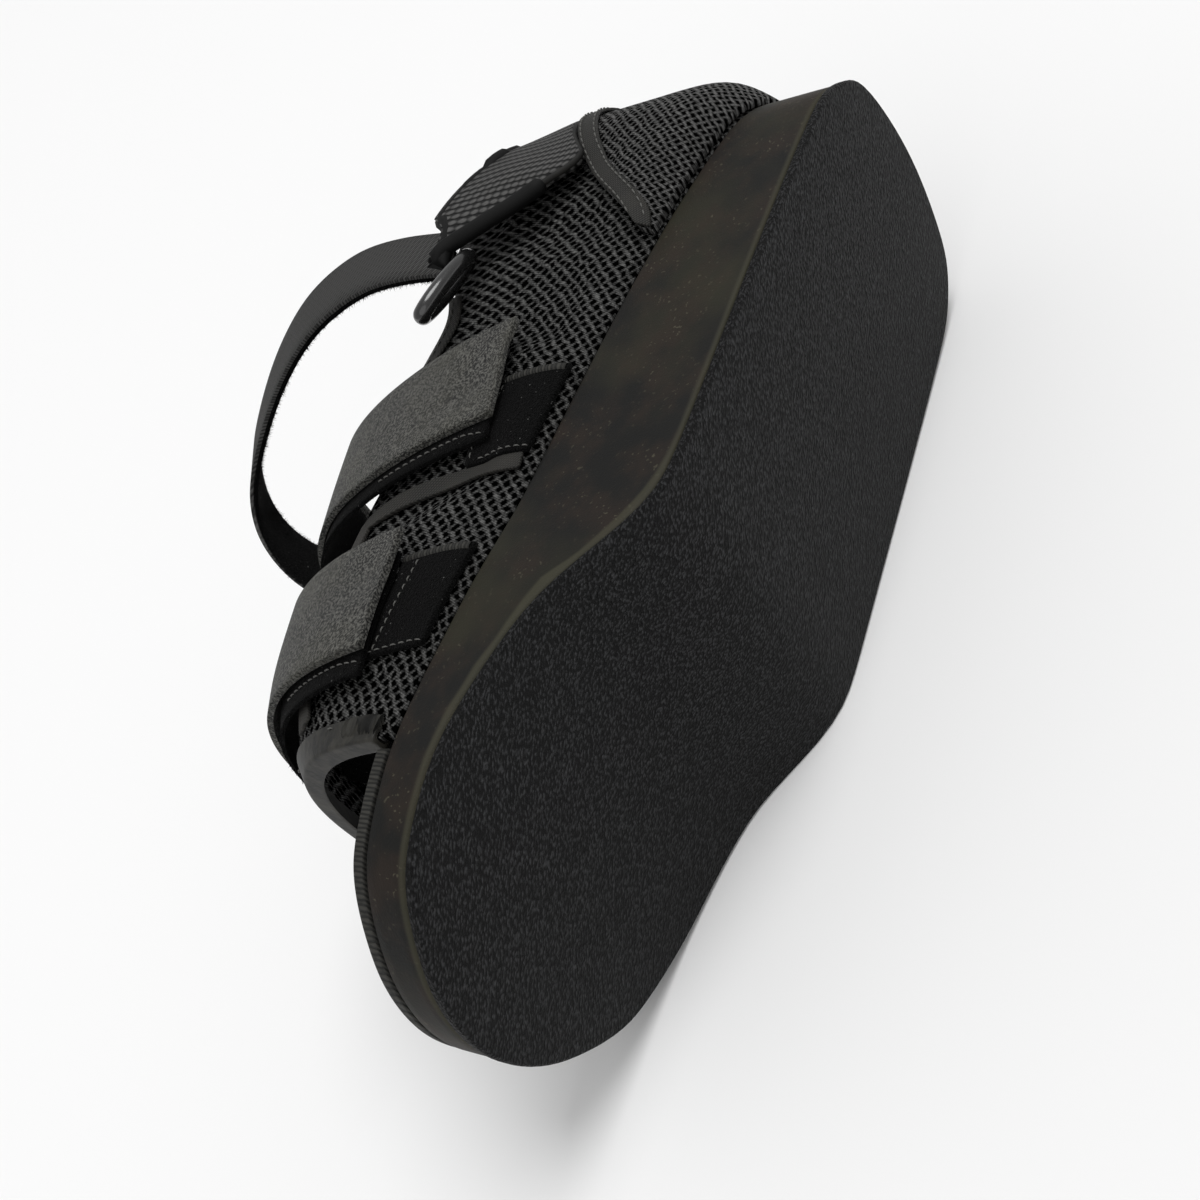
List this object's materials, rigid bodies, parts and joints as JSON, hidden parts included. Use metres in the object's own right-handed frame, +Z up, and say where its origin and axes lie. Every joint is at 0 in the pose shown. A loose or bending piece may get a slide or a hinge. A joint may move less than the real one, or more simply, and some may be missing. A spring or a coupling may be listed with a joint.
{
  "type": "post operative shoe",
  "caption": "Open-toe post operative shoe: wedge sole, tall mesh upper, closing straps and an ankle loop held by a ring.",
  "frame": {"origin": "middle of the shoe's footprint on the floor, with the shoe lying on its right side", "axes": "+Z up from the floor; the sole faces -Y, the collar and ankle loop +Y, the toe -X and the heel +X"},
  "size_m": [0.2962, 0.2518, 0.1293],
  "materials": {
    "rubber": "matt pebbled rubber",
    "foam": "matt closed foam",
    "board": "matt",
    "mesh": "open net cloth",
    "tape": "woven tape",
    "webbing": "grey woven cloth",
    "pile": "black pile cloth",
    "plastic": "gloss"
  },
  "bodies": {
    "root": {"outsole": "rubber", "midsole": "foam", "footbed": "board", "insole": "mesh", "edge_tape": "tape", "upper": "mesh", "heel_counter": "mesh", "counter_binding": "tape", "collar_belt": "mesh", "collar_binding_left": "tape", "collar_binding_right": "tape", "flap_piping_left": "tape", "flap_piping_right": "tape", "toe_binding": "tape", "mid_strap": "webbing", "mid_strap_lining": "pile", "front_strap": "webbing", "front_strap_lining": "pile", "mid_pad": "pile", "front_pad": "pile", "ring": "plastic", "ankle_strap": "webbing", "ankle_strap_lining": "pile"}
  },
  "joints": []
}
